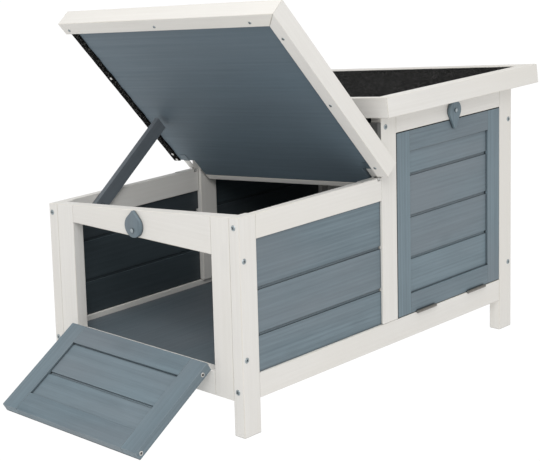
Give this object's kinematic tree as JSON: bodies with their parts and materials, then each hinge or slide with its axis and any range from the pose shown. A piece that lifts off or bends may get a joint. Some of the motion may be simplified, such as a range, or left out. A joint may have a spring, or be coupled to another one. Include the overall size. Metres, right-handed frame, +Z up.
{
  "type": "rabbit hutch",
  "caption": "Two-part timber rabbit hutch: low run with a propped lid and a ramp door, taller room with a sloping felt roof and a drop-down front door.",
  "frame": {"origin": "centre of the front left leg's foot, on the ground", "axes": "+X along the length from the low end to the tall end, +Y from the front to the rear, +Z up"},
  "size_m": [1.0093, 0.5796, 0.7214],
  "materials": {
    "white_paint": "white painted softwood, faint grain",
    "grey_stain": "blue-grey stained softwood",
    "dark_stain": "dark blue-grey stained wood",
    "roofing_felt": "mineral-faced bitumen felt",
    "zinc_hardware": "zinc plated steel"
  },
  "bodies": {
    "frame": {"front_left_leg": "white_paint", "rear_left_leg": "white_paint", "front_right_leg": "white_paint", "rear_right_leg": "white_paint", "front_middle_post": "white_paint", "rear_middle_post": "white_paint", "front_bottom_rail": "white_paint", "rear_bottom_rail": "white_paint", "front_low_top_rail": "white_paint", "rear_low_top_rail": "white_paint", "front_header": "white_paint", "rear_header": "white_paint", "left_front_stile": "white_paint", "left_rear_stile": "white_paint", "left_top_rail": "white_paint", "left_bottom_rail": "white_paint", "right_front_stile": "white_paint", "right_rear_stile": "white_paint", "right_top_rail": "white_paint", "right_bottom_rail": "white_paint", "right_end_boards": "grey_stain", "front_low_boards": "grey_stain", "rear_low_boards": "grey_stain", "rear_high_boards": "grey_stain", "floor_board": "grey_stain", "floor_side_battens": "white_paint", "floor_cross_battens": "white_paint", "gable_board": "dark_stain", "roof_deck": "dark_stain", "roof_felt": "roofing_felt", "roof_front_trim": "white_paint", "roof_left_trim": "white_paint", "roof_right_trim": "white_paint", "frame_screws": "zinc_hardware", "pivot_screws": "zinc_hardware", "hinge_pins": "zinc_hardware", "lid_hinge_fixed_leaves": "zinc_hardware", "ramp_hinge_fixed_leaves": "zinc_hardware", "door_hinge_fixed_leaves": "zinc_hardware"},
    "lid": {"lid_deck": "grey_stain", "lid_felt": "roofing_felt", "lid_end_trim": "white_paint", "lid_front_trim": "white_paint", "lid_edging": "white_paint", "lid_hinge_leaves": "zinc_hardware", "lid_screws": "zinc_hardware", "lid_felt_nails": "zinc_hardware"},
    "prop_batten": {"prop": "dark_stain"},
    "ramp": {"ramp_stiles": "grey_stain", "ramp_rails": "grey_stain", "ramp_boards": "grey_stain", "ramp_hinge_leaves": "zinc_hardware", "ramp_screws": "zinc_hardware"},
    "door": {"door_stiles": "grey_stain", "door_rails": "grey_stain", "door_boards": "grey_stain", "door_hinge_leaves": "zinc_hardware"},
    "ramp_latch": {"ramp_button": "grey_stain"},
    "door_latch": {"door_button": "grey_stain"}
  },
  "joints": [
    {"name": "lid_hinge", "type": "hinge", "parent": "frame", "child": "lid", "pos_m": [0.342, -0.0115, 0.3764], "axis": [0, 0.9956, -0.0941], "range_deg": [-50.8, 0]},
    {"name": "prop_swing", "type": "hinge", "parent": "frame", "child": "prop_batten", "pos_m": [0.084, 0.4501, 0.312], "axis": [0, 1, 0], "range_deg": [0, 142.3]},
    {"name": "ramp_hinge", "type": "hinge", "parent": "frame", "child": "ramp", "pos_m": [-0.023, 0.2285, 0.10475], "axis": [0, 1, 0], "range_deg": [0, 122.46]},
    {"name": "door_hinge", "type": "hinge", "parent": "frame", "child": "door", "pos_m": [0.554, -0.0145, 0.10475], "axis": [1, 0, 0], "range_deg": [0, 107]},
    {"name": "ramp_button_turn", "type": "hinge", "parent": "frame", "child": "ramp_latch", "pos_m": [-0.024, 0.2385, 0.319], "axis": [1, 0, 0], "range_deg": [0, 180]},
    {"name": "door_button_turn", "type": "hinge", "parent": "frame", "child": "door_latch", "pos_m": [0.563, -0.0155, 0.469], "axis": [0, 1, 0], "range_deg": [0, 105]}
  ],
  "couplings": [
    {"joint": "prop_swing", "follows": "lid_hinge", "ratio": -2.8}
  ]
}
